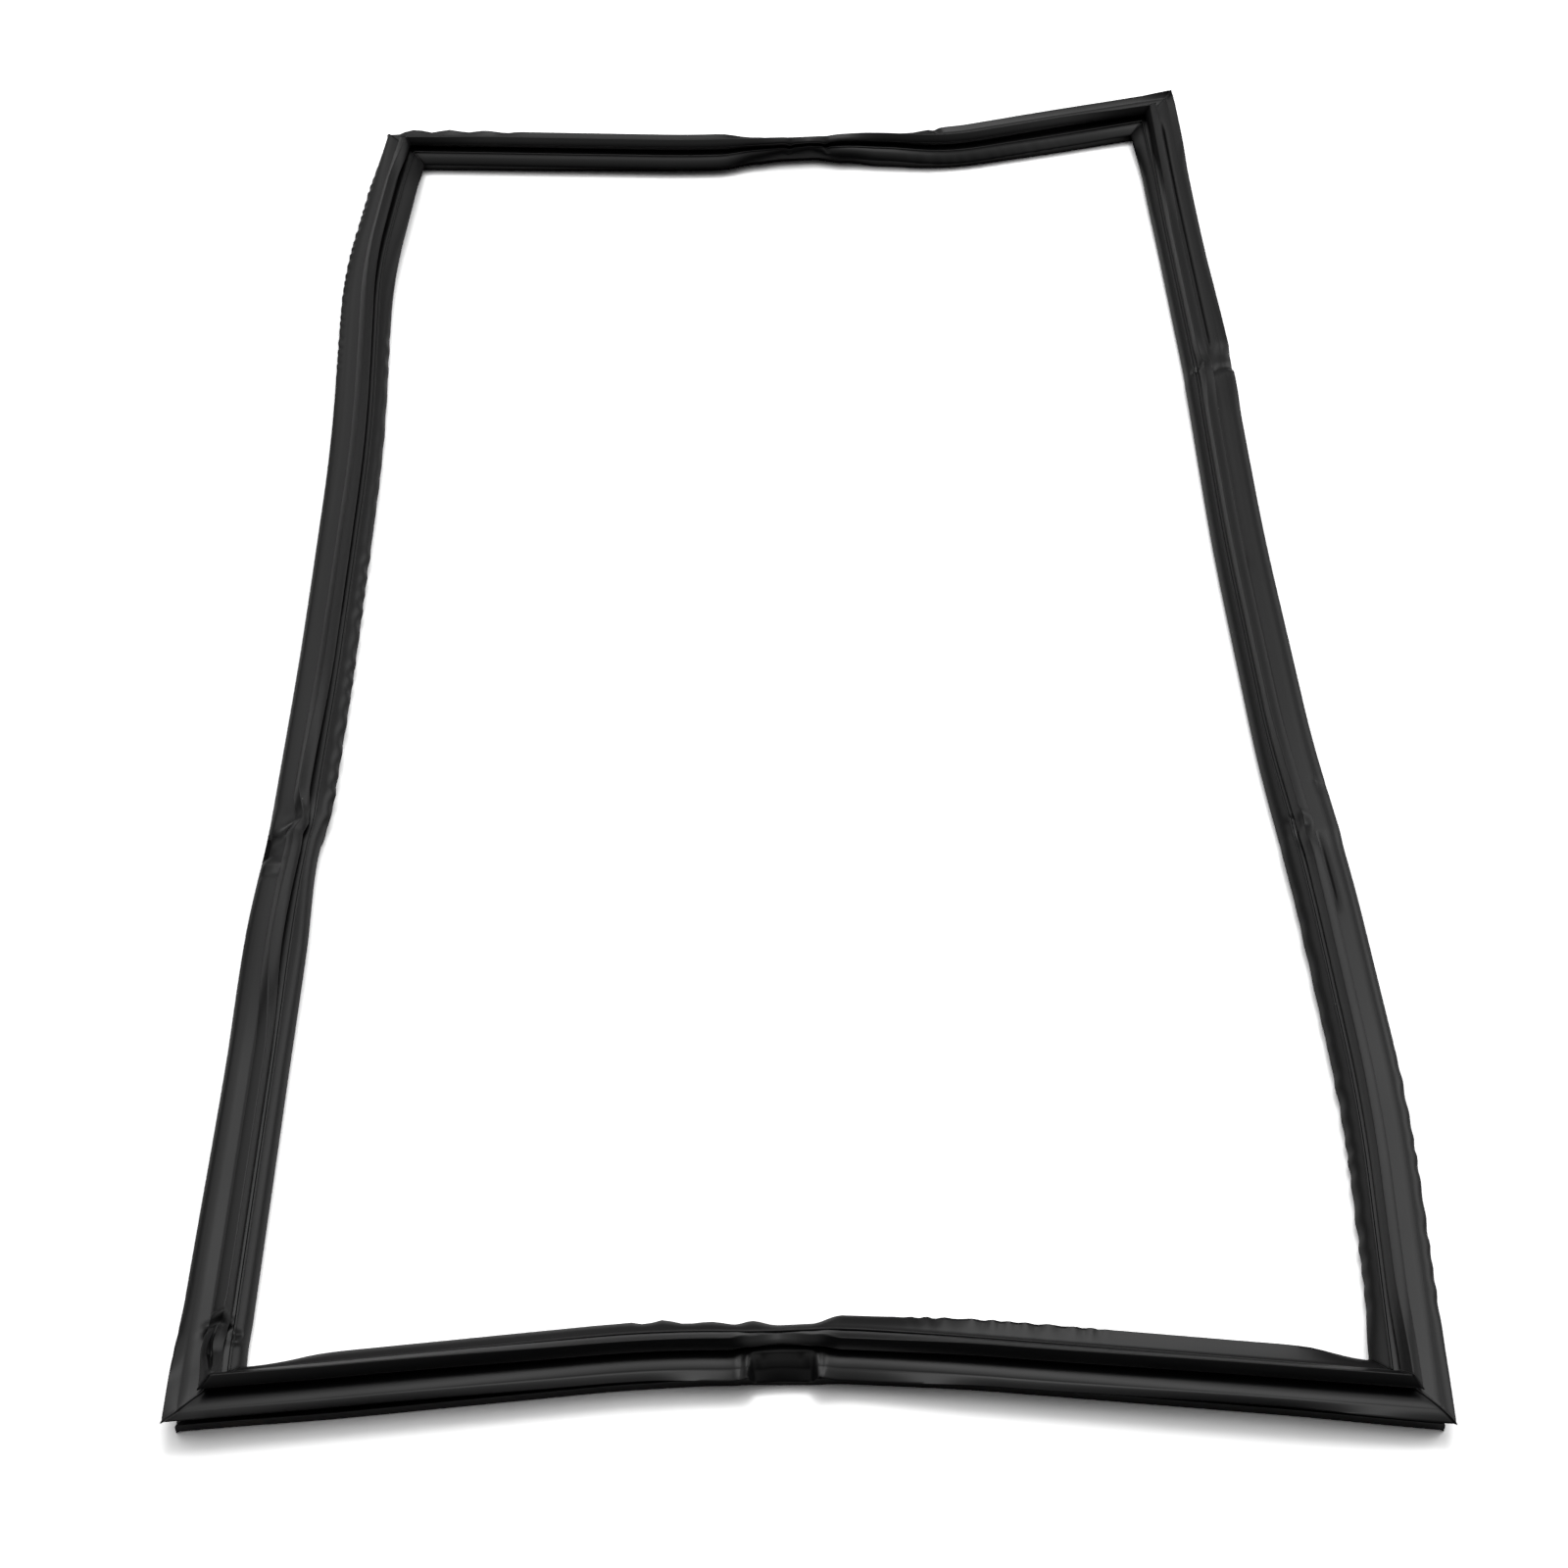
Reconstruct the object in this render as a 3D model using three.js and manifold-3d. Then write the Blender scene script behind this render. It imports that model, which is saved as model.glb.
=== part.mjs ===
// Refrigerator door gasket, lying dart up as it comes out of its packing. Millimetres, +Z up.
// Four lengths of one extruded PVC section are welded at mitred corners. The frame has bows, kinks and pinches
// from being folded, and each length holds a magnetic strip in its pocket.
import * as THREE from 'three';
import { mergeVertices } from 'three/addons/utils/BufferGeometryUtils.js';
import Module from 'manifold-3d';

const wasm = await Module();
wasm.setup();

// The frame, between the corners of the dart's centreline
const FRAME_WIDTH = 528;
const FRAME_LENGTH = 1095;

// Section, across: u is positive towards the outside of the frame, 0 on the dart's centre plane
const FACE_OUTER = 12.5;
const FACE_INNER = 13;
const MAGNET_POCKET_WIDTH = 12.7;
const WALL = 0.7;
const WALL_ROUND = 0.5;
const FLANGE_REACH = 12;
const OUTER_LIP_LENGTH = 5.4;
const INNER_LIP_ROOT = 9.2;
const INNER_LIP_LENGTH = 8.6;
const LIP_THICKNESS = 0.9;
const LIP_EDGE_THICKNESS = 0.5;
const LIP_ROOT_DROP = 0.3;
const STEM_HALF = 1.2;
const BARB_OUTER = 4;
const BARB_INNER = 4.7;
const PEAK_HALF = 0.35;
const BEAD_CENTRE = 7.9;
const BEAD_HALF = 0.8;
const BELLOWS_JOINT_OUTER = 8.2;
const BELLOWS_JOINT_INNER = 7.2;
const BELLOWS_FOLD_OUTER = 5.5;
const BELLOWS_FOLD_INNER = 4.6;
const BELLOWS_FOOT = 8.8;
const BELLOWS_WALL = 0.9;

// Section, upwards: v is the height above the sealing face
const POCKET_HEIGHT = 5.2;
const FOLD_HEIGHT = 8.2;
const WEB_UNDERSIDE = 10.9;
const WEB_TOP = 12.1;
const BARB_HEIGHT = 16.4;
const BARB_UNDERCUT = 0.7;
const BARB_SLANT = 0.3;
const PEAK_HEIGHT = 20;
const BEAD_RISE = 0.9;
const BEAD_FOOT_DROP = 0.15;
const LEAN_PIVOT = 8;

// How the soft section gives: shares of a lip's droop near its root and near its edge, and the share of the dart's
// dip that its barbs follow
const ROOT_DROOP = 0.7;
const EDGE_DROOP = 1.3;
const BARB_DIP = 0.6;

// Magnetic strip
const MAGNET_CLEARANCE = 0.3;
const MAGNET_END_GAP = 14;

// Mitres: over this length a cross-section turns from square into the plane of the weld
const MITRE_RUN = 45;
const MITRE_STEPS = [0, 14, 29];
const STATION_STEP = 44;

// Breather slits, punched from the inside of the frame, at a share of each side's length
const SLIT_SHARE = 0.4;
const SLIT_REACH = 3;
const SLIT_LENGTH = 4;
const SLIT_HEIGHT = 1.2;
const POCKET_SLIT_HEIGHT = 2.6;
const BELLOWS_SLIT_HEIGHT = 6.8;

// Corners of the dart's centreline, seen from above, as shares of the width and the length
const CORNERS = {
  nearLeft: [0, 0],
  nearRight: [1, 0.001],
  farRight: [0.986, 1],
  farLeft: [-0.036, 0.957],
};

// How the section stands at each corner: lean of the web and the dart's own lean on it (degrees), shift of the
// pocket (mm), droop of each lip (degrees) and how far the dart is pressed down (mm)
const CORNER_STATES = {
  nearLeft: { lean: 0, dart: -1, shift: 1, outerDroop: 18, innerDroop: 46, dip: 0 },
  nearRight: { lean: -1, dart: -3, shift: 0.5, outerDroop: 25, innerDroop: 27, dip: 0 },
  farRight: { lean: -8, dart: -20, shift: -3, outerDroop: -6, innerDroop: 12, dip: 0 },
  farLeft: { lean: -5, dart: -12, shift: -1.5, outerDroop: 9, innerDroop: 24, dip: 0 },
};

// The four sides, counterclockwise. A bend is the share of the way to the next corner, the bow outwards and the
// length over which it is rounded. A key is a share of the side's length and what the section does there.
const SIDES = [
  {
    name: 'near',
    from: 'nearLeft',
    to: 'nearRight',
    bends: [
      { share: 0.37, bow: -22.5, round: 60 },
      { share: 0.444, bow: -22, round: 20 },
      { share: 0.524, bow: -23.5, round: 20 },
      { share: 0.604, bow: -20.5, round: 60 },
    ],
    keys: [
      { at: 0.114, lean: 0, dart: -1, shift: 2.5, outerDroop: -4, innerDroop: 32, dip: 0 },
      { at: 0.36, lean: 2, dart: 6, shift: 1.5, outerDroop: -4, innerDroop: 30, dip: 0 },
      { at: 0.432, lean: 2, dart: 4, shift: 0.5, outerDroop: 6, innerDroop: 40, dip: 0 },
      { at: 0.451, lean: -5, dart: -11, shift: 0, outerDroop: 36, innerDroop: 22, dip: 1.6 },
      { at: 0.491, lean: -8, dart: -18, shift: 0.5, outerDroop: 35, innerDroop: 35, dip: 2.4 },
      { at: 0.531, lean: -4, dart: -8, shift: 1, outerDroop: 30, innerDroop: 40, dip: 1.6 },
      { at: 0.553, lean: 4, dart: 9, shift: 0.7, outerDroop: 15, innerDroop: 22, dip: 0 },
      { at: 0.663, lean: 1, dart: 2, shift: -0.5, outerDroop: -5, innerDroop: 8, dip: 0 },
      { at: 0.891, lean: -1.5, dart: -3, shift: -0.5, outerDroop: -5, innerDroop: 10, dip: 0 },
    ],
  },
  {
    name: 'right',
    from: 'nearRight',
    to: 'farRight',
    bends: [
      { share: 0.144, bow: 9.7, round: 90 },
      { share: 0.287, bow: 7, round: 70 },
      { share: 0.384, bow: 0.7, round: 60 },
      { share: 0.545, bow: -1.3, round: 90 },
      { share: 0.703, bow: 1.4, round: 60 },
      { share: 0.879, bow: -0.3, round: 90 },
    ],
    keys: [
      { at: 0.055, lean: -7, dart: -16, shift: 0, outerDroop: 33, innerDroop: 45, dip: 0 },
      { at: 0.273, lean: -7, dart: -16, shift: 0, outerDroop: 36, innerDroop: 40, dip: 0 },
      { at: 0.309, lean: -3, dart: -6, shift: -1, outerDroop: 36, innerDroop: 36, dip: 0 },
      { at: 0.32, lean: 2, dart: 4, shift: -1, outerDroop: 22, innerDroop: 43, dip: 2 },
      { at: 0.331, lean: -7, dart: -16, shift: -1, outerDroop: 29, innerDroop: 43, dip: 0.6 },
      { at: 0.41, lean: -10, dart: -24, shift: 0, outerDroop: 30, innerDroop: 48, dip: 0 },
      { at: 0.655, lean: -10, dart: -24, shift: 0, outerDroop: 34, innerDroop: 47, dip: 0 },
      { at: 0.694, lean: -6, dart: -14, shift: 1, outerDroop: 18, innerDroop: 48, dip: 0.8 },
      { at: 0.71, lean: -10, dart: -23, shift: 1, outerDroop: 20, innerDroop: 50, dip: 2 },
      { at: 0.728, lean: -10, dart: -24, shift: 0, outerDroop: 14, innerDroop: 50, dip: 0 },
      { at: 0.837, lean: -10, dart: -24, shift: 0, outerDroop: 34, innerDroop: 50, dip: 0 },
      { at: 0.919, lean: -7, dart: -15, shift: 0, outerDroop: 30, innerDroop: 44, dip: 0 },
    ],
  },
  {
    name: 'far',
    from: 'farRight',
    to: 'farLeft',
    bends: [
      { share: 0.289, bow: -33.4, round: 50 },
      { share: 0.386, bow: -24.5, round: 40 },
      { share: 0.47, bow: -25, round: 40 },
      { share: 0.613, bow: -25, round: 60 },
    ],
    keys: [
      { at: 0.128, lean: -8, dart: -22, shift: -3, outerDroop: -6, innerDroop: 14, dip: 0 },
      { at: 0.275, lean: -8, dart: -20, shift: 0, outerDroop: -4, innerDroop: 24, dip: 0 },
      { at: 0.376, lean: -1, dart: -3, shift: -0.5, outerDroop: 40, innerDroop: 34, dip: 0 },
      { at: 0.426, lean: 4, dart: 12, shift: 3, outerDroop: 34, innerDroop: 46, dip: 1.5 },
      { at: 0.468, lean: 2, dart: 4, shift: 3, outerDroop: 46, innerDroop: 50, dip: 2.5 },
      { at: 0.505, lean: 2, dart: 6, shift: 3, outerDroop: 38, innerDroop: 46, dip: 1.5 },
      { at: 0.587, lean: -4, dart: -9, shift: 3, outerDroop: 0, innerDroop: 28, dip: 0 },
      { at: 0.881, lean: -4, dart: -8, shift: -0.5, outerDroop: -2, innerDroop: 26, dip: 0 },
    ],
  },
  {
    name: 'left',
    from: 'farLeft',
    to: 'nearLeft',
    bends: [
      { share: 0.153, bow: 10, round: 90 },
      { share: 0.335, bow: -1, round: 120 },
      { share: 0.541, bow: -2.3, round: 60 },
      { share: 0.662, bow: -1.7, round: 40 },
      { share: 0.718, bow: 0.8, round: 50 },
    ],
    keys: [
      { at: 0.057, lean: 3, dart: 7, shift: 0.5, outerDroop: 30, innerDroop: 16, dip: 0 },
      { at: 0.239, lean: -0.5, dart: -1, shift: 0, outerDroop: 18, innerDroop: 42, dip: 0 },
      { at: 0.536, lean: -2, dart: -5, shift: -3.5, outerDroop: 42, innerDroop: 39, dip: 0 },
      { at: 0.641, lean: 3, dart: 8, shift: -3, outerDroop: 38, innerDroop: 40, dip: 0 },
      { at: 0.66, lean: -4, dart: -10, shift: -1.5, outerDroop: 44, innerDroop: 42, dip: 1.8 },
      { at: 0.675, lean: -1, dart: -3, shift: 0, outerDroop: 42, innerDroop: 48, dip: 0.5 },
      { at: 0.746, lean: 2, dart: 4, shift: -0.5, outerDroop: 27, innerDroop: 45, dip: 0 },
      { at: 0.822, lean: -10, dart: -23, shift: 1, outerDroop: 44, innerDroop: 47, dip: 0 },
      { at: 0.956, lean: -9, dart: -20, shift: 1, outerDroop: 30, innerDroop: 47, dip: 0 },
      { at: 0.97, lean: -3, dart: -8, shift: 2, outerDroop: -4, innerDroop: 50, dip: 2.2 },
    ],
  },
];
const STATE_NAMES = ['lean', 'dart', 'shift', 'outerDroop', 'innerDroop', 'dip'];

const PVC_COLOUR = 0x1d1d1f;
const MAGNET_COLOUR = 0x3a3531;

function cornerPoint(name) {
  const [share, lengthShare] = CORNERS[name];
  return new THREE.Vector2(share * FRAME_WIDTH, lengthShare * FRAME_LENGTH);
}

// The centreline of a side: straight stretches between its bends, each bend rounded by a parabola
class Route {
  constructor(side) {
    const start = cornerPoint(side.from);
    const end = cornerPoint(side.to);
    const across = end.clone().sub(start);
    const outwards = new THREE.Vector2(across.y, -across.x).normalize();
    const bends = side.bends.map(
      ({ share, bow }) => start.clone().addScaledVector(across, share).addScaledVector(outwards, bow),
    );
    this.points = [start, ...bends, end];
    this.rounds = [0, ...side.bends.map(({ round }) => round / 2), 0];
    this.places = [0];
    for (let i = 1; i < this.points.length; i += 1) {
      this.places.push(this.places[i - 1] + this.points[i].distanceTo(this.points[i - 1]));
    }
    this.length = this.places[this.places.length - 1];
  }

  direction(i) {
    return this.points[i + 1].clone().sub(this.points[i]).normalize();
  }

  // Point and direction at a place along the side. Past its ends the side goes on straight.
  at(place) {
    const last = this.points.length - 2;
    for (let i = 1; i <= last; i += 1) {
      const round = this.rounds[i];
      const into = place - (this.places[i] - round);
      if (into > 0 && into < 2 * round) {
        const t = into / (2 * round);
        const before = this.direction(i - 1);
        const after = this.direction(i);
        const start = this.points[i].clone().addScaledVector(before, -round);
        const end = this.points[i].clone().addScaledVector(after, round);
        const point = start.multiplyScalar((1 - t) ** 2);
        point.addScaledVector(this.points[i], 2 * t * (1 - t));
        point.addScaledVector(end, t ** 2);
        const direction = before.multiplyScalar(1 - t).addScaledVector(after, t).normalize();
        return { point, direction };
      }
    }
    let i = 0;
    while (i < last && place > this.places[i + 1]) i += 1;
    const direction = this.direction(i);
    return { point: this.points[i].clone().addScaledVector(direction, place - this.places[i]), direction };
  }
}

// Eased value between the keys of a side
function stateAt(keys, place) {
  let i = 0;
  while (i < keys.length - 2 && place > keys[i + 1].at) i += 1;
  const before = keys[i];
  const after = keys[i + 1];
  const t = THREE.MathUtils.smoothstep(place, before.at, after.at);
  const state = {};
  for (const name of STATE_NAMES) {
    state[name] = THREE.MathUtils.lerp(before[name], after[name], t);
  }
  return state;
}

// A lip drawn from its root: it droops by an angle that grows along it, and gets thinner to its edge
function lip(direction, root, length, droop) {
  const half = length / 2;
  const middleAngle = THREE.MathUtils.degToRad(droop * ROOT_DROOP);
  const edgeAngle = THREE.MathUtils.degToRad(droop * EDGE_DROOP);
  const rootHeight = WEB_TOP - LIP_ROOT_DROP;
  const middle = [root + half * Math.cos(middleAngle), rootHeight - half * Math.sin(middleAngle)];
  const edge = [middle[0] + half * Math.cos(edgeAngle), middle[1] - half * Math.sin(edgeAngle)];
  const above = [[root, rootHeight], middle, edge];
  const thickness = [LIP_THICKNESS, (LIP_THICKNESS + LIP_EDGE_THICKNESS) / 2, LIP_EDGE_THICKNESS];
  const below = above.map(([u, v], i) => [u, v - thickness[i]]);
  return {
    above: above.map(([u, v]) => [direction * u, v]),
    below: below.map(([u, v]) => [direction * u, v]),
  };
}

// Turns a section point outwards about a pivot on the centre plane
function turned([u, v], degrees, pivot) {
  const angle = THREE.MathUtils.degToRad(degrees);
  const rise = v - pivot;
  return [u * Math.cos(angle) + rise * Math.sin(angle), pivot + rise * Math.cos(angle) - u * Math.sin(angle)];
}

function leaned(point, degrees) {
  return turned(point, degrees, LEAN_PIVOT);
}

// Outer outline of the section, counterclockwise from the outer end of the bellows
function outline(state) {
  const outerLip = lip(1, FLANGE_REACH, OUTER_LIP_LENGTH, state.outerDroop);
  const innerLip = lip(-1, INNER_LIP_ROOT, INNER_LIP_LENGTH, state.innerDroop);
  const peak = PEAK_HEIGHT - state.dip;
  const barb = BARB_HEIGHT - state.dip * BARB_DIP;
  const dart = [
    [STEM_HALF, barb],
    [BARB_OUTER - BARB_SLANT, barb - BARB_UNDERCUT],
    [BARB_OUTER, barb],
    [PEAK_HALF, peak],
    [-PEAK_HALF, peak],
    [-BARB_INNER, barb],
    [-BARB_INNER + BARB_SLANT, barb - BARB_UNDERCUT],
    [-STEM_HALF, barb],
  ].map((point) => turned(point, state.dart, WEB_TOP));
  const top = [
    [BELLOWS_JOINT_OUTER, WEB_UNDERSIDE],
    ...outerLip.below,
    ...outerLip.above.toReversed(),
    [STEM_HALF, WEB_TOP],
    ...dart,
    [-STEM_HALF, WEB_TOP],
    [-BEAD_CENTRE + BEAD_HALF, WEB_TOP - BEAD_FOOT_DROP],
    [-BEAD_CENTRE, WEB_TOP + BEAD_RISE],
    [-BEAD_CENTRE - BEAD_HALF, WEB_TOP - BEAD_FOOT_DROP],
    ...innerLip.above,
    ...innerLip.below.toReversed(),
    [-BELLOWS_JOINT_INNER, WEB_UNDERSIDE],
  ].map((point) => leaned(point, state.lean));
  const folds = [
    leaned([-BELLOWS_FOLD_INNER, FOLD_HEIGHT], state.lean / 2),
    leaned([BELLOWS_FOLD_OUTER, FOLD_HEIGHT], state.lean / 2),
  ];
  const face = [
    [-BELLOWS_FOOT, POCKET_HEIGHT],
    [-FACE_INNER + WALL_ROUND, POCKET_HEIGHT],
    [-FACE_INNER, POCKET_HEIGHT - WALL_ROUND],
    [-FACE_INNER, WALL_ROUND],
    [-FACE_INNER + WALL_ROUND, 0],
    [FACE_OUTER - WALL_ROUND, 0],
    [FACE_OUTER, WALL_ROUND],
    [FACE_OUTER, POCKET_HEIGHT - WALL_ROUND],
    [FACE_OUTER - WALL_ROUND, POCKET_HEIGHT],
    [BELLOWS_FOOT, POCKET_HEIGHT],
  ].map(([u, v]) => [u + state.shift, v]);
  return [...top, folds[0], ...face, folds[1]];
}

const POCKET_OUTER = FACE_OUTER - WALL;
const POCKET_INNER = POCKET_OUTER - MAGNET_POCKET_WIDTH;

function rectangle(left, right, bottom, top, shift) {
  return [[right, bottom], [right, top], [left, top], [left, bottom]].map(([u, v]) => [u + shift, v]);
}

function magnetPocket(state) {
  return rectangle(POCKET_INNER, POCKET_OUTER, WALL, POCKET_HEIGHT - WALL, state.shift);
}

function airChamber(state) {
  return rectangle(-FACE_INNER + WALL, POCKET_INNER - WALL, WALL, POCKET_HEIGHT - WALL, state.shift);
}

function magnetSection(state) {
  const gap = WALL + MAGNET_CLEARANCE;
  return rectangle(
    POCKET_INNER + MAGNET_CLEARANCE,
    POCKET_OUTER - MAGNET_CLEARANCE,
    gap,
    POCKET_HEIGHT - gap,
    state.shift,
  );
}

function bellowsChamber(state) {
  return [
    [BELLOWS_FOOT - BELLOWS_WALL + state.shift, POCKET_HEIGHT],
    leaned([BELLOWS_FOLD_OUTER - BELLOWS_WALL, FOLD_HEIGHT], state.lean / 2),
    leaned([BELLOWS_JOINT_OUTER - BELLOWS_WALL, WEB_UNDERSIDE], state.lean),
    leaned([-BELLOWS_JOINT_INNER + BELLOWS_WALL, WEB_UNDERSIDE], state.lean),
    leaned([-BELLOWS_FOLD_INNER + BELLOWS_WALL, FOLD_HEIGHT], state.lean / 2),
    [-BELLOWS_FOOT + BELLOWS_WALL + state.shift, POCKET_HEIGHT],
  ];
}

// Halves of the turns at the corners, as slopes of the welds
function weldSlope(before, after) {
  const turn = Math.acos(THREE.MathUtils.clamp(before.dot(after), -1, 1));
  return Math.tan(turn / 2);
}

const routes = SIDES.map((side) => new Route(side));
SIDES.forEach((side, i) => {
  const route = routes[i];
  const previous = routes[(i + 3) % 4];
  const next = routes[(i + 1) % 4];
  const first = route.direction(0);
  const last = route.direction(route.points.length - 2);
  route.startSlope = weldSlope(previous.direction(previous.points.length - 2), first);
  route.endSlope = weldSlope(last, next.direction(0));
  route.keys = [
    { at: 0, ...CORNER_STATES[side.from] },
    ...side.keys.map((key) => ({ ...key, at: key.at * route.length })),
    { at: route.length, ...CORNER_STATES[side.to] },
  ];
});

// Places of the cross-sections along a side: close at the mitres and the keys, wider on the plain stretches
function stations(route) {
  const { length } = route;
  const isPlain = (at) => at > MITRE_RUN && at < length - MITRE_RUN;
  const marks = [
    ...MITRE_STEPS,
    MITRE_RUN,
    ...route.keys.map((key) => key.at).filter(isPlain),
    length - MITRE_RUN,
    ...MITRE_STEPS.map((step) => length - step),
  ].sort((a, b) => a - b);
  const places = [marks[0]];
  for (let i = 1; i < marks.length; i += 1) {
    const span = marks[i] - marks[i - 1];
    const steps = Math.max(1, Math.round(span / STATION_STEP));
    for (let k = 1; k <= steps; k += 1) places.push(marks[i - 1] + span * k / steps);
  }
  return places;
}

// A section point placed in space. Near a corner its place along the side follows the plane of the weld.
function placed(route, place, [u, v]) {
  const fromStart = Math.max(0, 1 - place / MITRE_RUN);
  const fromEnd = Math.max(0, 1 - (route.length - place) / MITRE_RUN);
  const sheared = place + u * (fromEnd * route.endSlope - fromStart * route.startSlope);
  const { point, direction } = route.at(sheared);
  return [point.x + direction.y * u, point.y - direction.x * u, v];
}

function ring(route, place, section) {
  return section(stateAt(route.keys, place)).map((point) => placed(route, place, point));
}

// Joins rings of points into a skin. A closed skin runs round the frame, an open one gets two flat ends.
function skin(rings, closed) {
  const count = rings[0].length;
  const vertices = rings.flat(2);
  const triangles = [];
  const spans = closed ? rings.length : rings.length - 1;
  for (let j = 0; j < spans; j += 1) {
    const here = j * count;
    const there = ((j + 1) % rings.length) * count;
    for (let i = 0; i < count; i += 1) {
      const next = (i + 1) % count;
      triangles.push(here + i, there + next, here + next);
      triangles.push(here + i, there + i, there + next);
    }
  }
  if (!closed) {
    const last = (rings.length - 1) * count;
    for (let i = 1; i < count - 1; i += 1) {
      triangles.push(0, i, i + 1);
      triangles.push(last, last + i + 1, last + i);
    }
  }
  return new wasm.Manifold(new wasm.Mesh({
    numProp: 3,
    vertProperties: new Float32Array(vertices),
    triVerts: new Uint32Array(triangles),
  }));
}

function frameSkin(section) {
  const rings = [];
  for (const route of routes) {
    const places = stations(route).slice(0, -1);
    for (const place of places) rings.push(ring(route, place, section));
  }
  return skin(rings, true);
}

function magnetStrip(route) {
  const places = stations(route).filter(
    (place) => place > MAGNET_END_GAP - 1 && place < route.length - MAGNET_END_GAP + 1,
  );
  return skin(places.map((place) => ring(route, place, magnetSection)), false);
}

// A slit is a small block across the section, from one distance to another, at one height
function slit(route, place, fromU, toU, height) {
  const block = new THREE.BoxGeometry(SLIT_LENGTH, toU - fromU, SLIT_HEIGHT);
  const { point, direction } = route.at(place);
  const middle = (fromU + toU) / 2;
  block.rotateZ(Math.atan2(direction.y, direction.x));
  block.translate(point.x + direction.y * middle, point.y - direction.x * middle, height);
  block.deleteAttribute('normal');
  block.deleteAttribute('uv');
  const merged = mergeVertices(block);
  return new wasm.Manifold(new wasm.Mesh({
    numProp: 3,
    vertProperties: Float32Array.from(merged.attributes.position.array),
    triVerts: Uint32Array.from(merged.index.array),
  }));
}

function gasketSolid() {
  let solid = frameSkin(outline);
  for (const chamber of [magnetPocket, airChamber, bellowsChamber]) {
    solid = solid.subtract(frameSkin(chamber));
  }
  for (const route of routes) {
    const place = route.length * SLIT_SHARE;
    const { shift } = stateAt(route.keys, place);
    const pocketFrom = -FACE_INNER + shift - SLIT_REACH;
    const pocketTo = POCKET_INNER + shift + MAGNET_CLEARANCE / 2;
    const bellowsFrom = -BELLOWS_FOOT + shift - SLIT_REACH;
    solid = solid.subtract(slit(route, place, pocketFrom, pocketTo, POCKET_SLIT_HEIGHT));
    solid = solid.subtract(slit(route, place, bellowsFrom, -BELLOWS_FOLD_INNER, BELLOWS_SLIT_HEIGHT));
  }
  return solid;
}

function meshOf(name, solid, material, origin) {
  const { vertProperties, triVerts } = solid.getMesh();
  const geometry = new THREE.BufferGeometry();
  geometry.setAttribute('position', new THREE.BufferAttribute(Float32Array.from(vertProperties), 3));
  geometry.setIndex(new THREE.BufferAttribute(Uint32Array.from(triVerts), 1));
  geometry.computeVertexNormals();
  const mesh = new THREE.Mesh(geometry, material);
  mesh.name = name;
  mesh.position.set(-origin.x, -origin.y, 0);
  return mesh;
}

const gasket = gasketSolid();
const bounds = gasket.boundingBox();
const centre = new THREE.Vector2((bounds.min[0] + bounds.max[0]) / 2, (bounds.min[1] + bounds.max[1]) / 2);

const doorGasket = new THREE.Group();
doorGasket.name = 'refrigerator_door_gasket';
doorGasket.add(meshOf(
  'gasket',
  gasket,
  new THREE.MeshStandardMaterial({ color: PVC_COLOUR, roughness: 0.55, metalness: 0 }),
  centre,
));
SIDES.forEach((side, i) => {
  const material = new THREE.MeshStandardMaterial({ color: MAGNET_COLOUR, roughness: 0.8, metalness: 0 });
  doorGasket.add(meshOf(`magnet_strip_${side.name}`, magnetStrip(routes[i]), material, centre));
});

export default doorGasket;
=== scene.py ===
import math

import bpy
import numpy as np
from bpy.props import FloatProperty, FloatVectorProperty, IntProperty, PointerProperty
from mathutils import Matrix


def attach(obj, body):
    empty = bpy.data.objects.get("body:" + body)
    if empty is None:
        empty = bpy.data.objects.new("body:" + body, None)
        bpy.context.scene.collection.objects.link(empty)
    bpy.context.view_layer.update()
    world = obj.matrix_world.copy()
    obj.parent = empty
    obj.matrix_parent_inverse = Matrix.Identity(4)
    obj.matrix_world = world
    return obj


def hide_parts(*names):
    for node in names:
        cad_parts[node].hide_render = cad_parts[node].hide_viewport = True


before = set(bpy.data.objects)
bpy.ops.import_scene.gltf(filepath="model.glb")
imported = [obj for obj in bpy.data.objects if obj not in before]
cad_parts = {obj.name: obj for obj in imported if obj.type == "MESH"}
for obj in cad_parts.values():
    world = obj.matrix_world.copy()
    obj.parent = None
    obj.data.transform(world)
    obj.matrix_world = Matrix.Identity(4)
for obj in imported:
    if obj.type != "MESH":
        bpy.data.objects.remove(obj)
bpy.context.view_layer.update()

# A refrigerator door gasket of soft black PVC, laid dart up on a white floor. The sweep is worked in
# millimetres, in the plan of the dart's centreline, and set into the frame's metres when the mesh is made.

bl_info = {
    "name": "Refrigerator door gasket",
    "version": (1, 0, 0),
    "blender": (4, 5, 0),
    "location": "View3D > Sidebar > Gasket",
    "description": "Builds the welded door gasket over its frame, with its stage",
    "category": "Object",
}

MM = 0.001


# How the frame lies

# Corners as shares of the frame's width and length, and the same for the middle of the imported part's box
CORNERS = {
    "near_left": (0.0, 0.0),
    "near_right": (1.0, 0.001),
    "far_right": (0.986, 1.0),
    "far_left": (-0.036, 0.957),
}
BOX_MIDDLE = (0.483155, 0.50151)

STATE_NAMES = ("lean", "dart", "shift", "outer_droop", "inner_droop", "dip", "squash", "split")

# How the section stands at each corner: lean of the web and the dart's own lean on it (degrees), shift of
# the pocket (mm), droop of each lip (degrees), how far the dart is pressed down (mm) and, only where they
# are not 0, how far the inner half is pushed in (mm) and how far the dart's peak is split (0 to 1)
CORNER_STATES = {
    "near_left": (-8, -2, 0, -10, 46, 0),
    "near_right": (-6, 2, 0.5, 22, 27, 0),
    "far_right": (-12, -4, -3, -32, 12, 0),
    "far_left": (-7, -4, -1.5, 70, 24, 0),
}

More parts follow.
